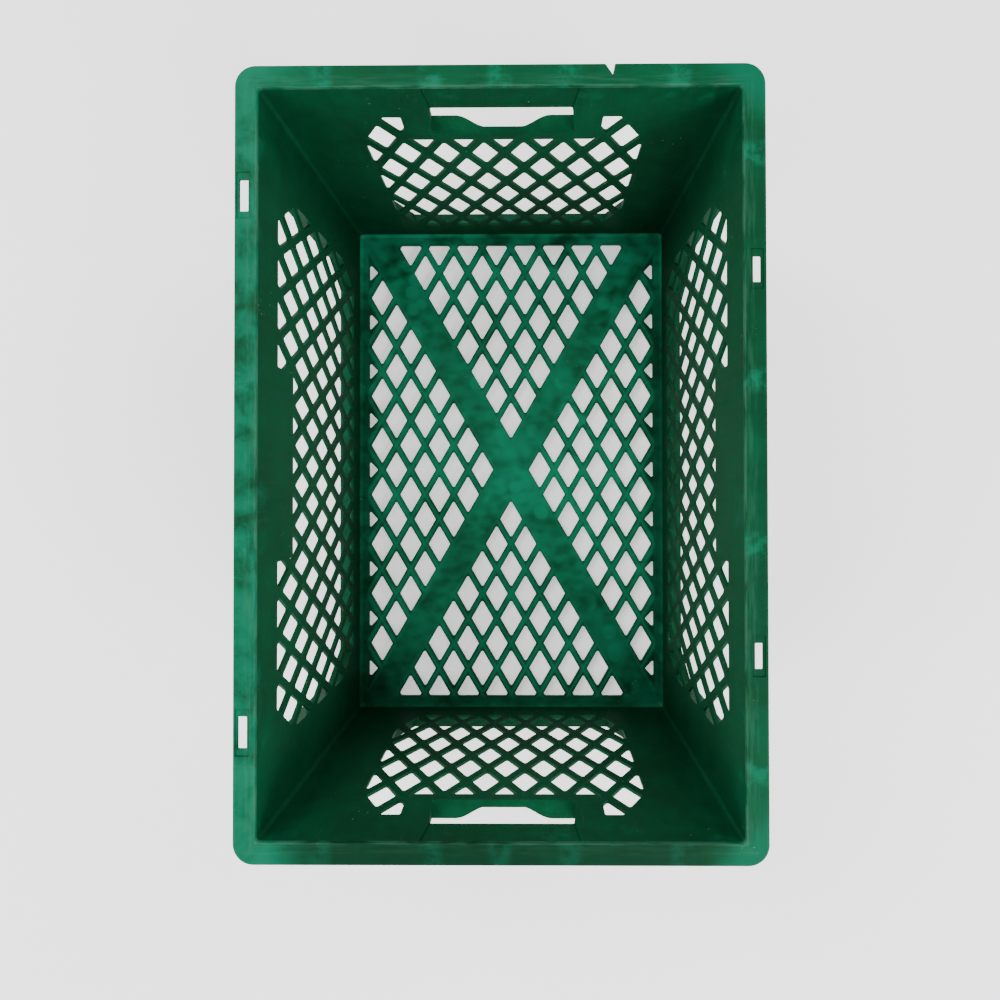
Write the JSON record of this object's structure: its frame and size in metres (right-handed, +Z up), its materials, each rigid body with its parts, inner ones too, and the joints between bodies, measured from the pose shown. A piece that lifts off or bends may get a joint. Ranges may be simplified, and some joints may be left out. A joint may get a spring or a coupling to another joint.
{
  "type": "stacking storage crate",
  "caption": "Rigid stacking crate with lattice walls and floor, hand openings in both ends, a skirted rim with lid slots and a stacking foot.",
  "frame": {"origin": "centre of the crate's footprint, at the bottom of its stacking foot", "axes": "+Z up, out of the open top; +Y along the long side; +X along the short side"},
  "size_m": [0.4, 0.6, 0.32],
  "materials": {
    "rim_plastic": "worn satin moulded plastic",
    "wall_plastic": "satin moulded plastic",
    "floor_plastic": "clouded satin moulded plastic"
  },
  "bodies": {
    "root": {"corner_post_back_left": "wall_plastic", "corner_post_back_right": "wall_plastic", "corner_post_front_left": "wall_plastic", "corner_post_front_right": "wall_plastic", "end_lattice_back": "wall_plastic", "end_lattice_front": "wall_plastic", "end_sill_back": "wall_plastic", "end_sill_front": "wall_plastic", "end_wall_back_left": "wall_plastic", "end_wall_back_right": "wall_plastic", "end_wall_front_left": "wall_plastic", "end_wall_front_right": "wall_plastic", "floor_border": "floor_plastic", "floor_cross": "floor_plastic", "floor_cross_ribs": "floor_plastic", "floor_lattice_back": "floor_plastic", "floor_lattice_front": "floor_plastic", "floor_lattice_left": "floor_plastic", "floor_lattice_right": "floor_plastic", "foot_back": "floor_plastic", "foot_front": "floor_plastic", "foot_left": "floor_plastic", "foot_right": "floor_plastic", "grip_cheeks_back": "wall_plastic", "grip_cheeks_front": "wall_plastic", "grip_panel_back": "wall_plastic", "grip_panel_front": "wall_plastic", "grip_shelf_back": "wall_plastic", "grip_shelf_front": "wall_plastic", "rim_back": "rim_plastic", "rim_corner_back_left": "rim_plastic", "rim_corner_back_right": "rim_plastic", "rim_corner_front_left": "rim_plastic", "rim_corner_front_right": "rim_plastic", "rim_front": "rim_plastic", "rim_left": "rim_plastic", "rim_ribs_back": "rim_plastic", "rim_ribs_front": "rim_plastic", "rim_ribs_left": "rim_plastic", "rim_ribs_right": "rim_plastic", "rim_right": "rim_plastic", "shoulder_back": "rim_plastic", "shoulder_corner_back_left": "rim_plastic", "shoulder_corner_back_right": "rim_plastic", "shoulder_corner_front_left": "rim_plastic", "shoulder_corner_front_right": "rim_plastic", "shoulder_front": "rim_plastic", "shoulder_left": "rim_plastic", "shoulder_right": "rim_plastic", "side_lattice_left": "wall_plastic", "side_lattice_right": "wall_plastic", "side_wall_left": "wall_plastic", "side_wall_right": "wall_plastic", "window_frame_back": "wall_plastic", "window_frame_front": "wall_plastic", "window_frame_left": "wall_plastic", "window_frame_right": "wall_plastic"}
  },
  "joints": []
}
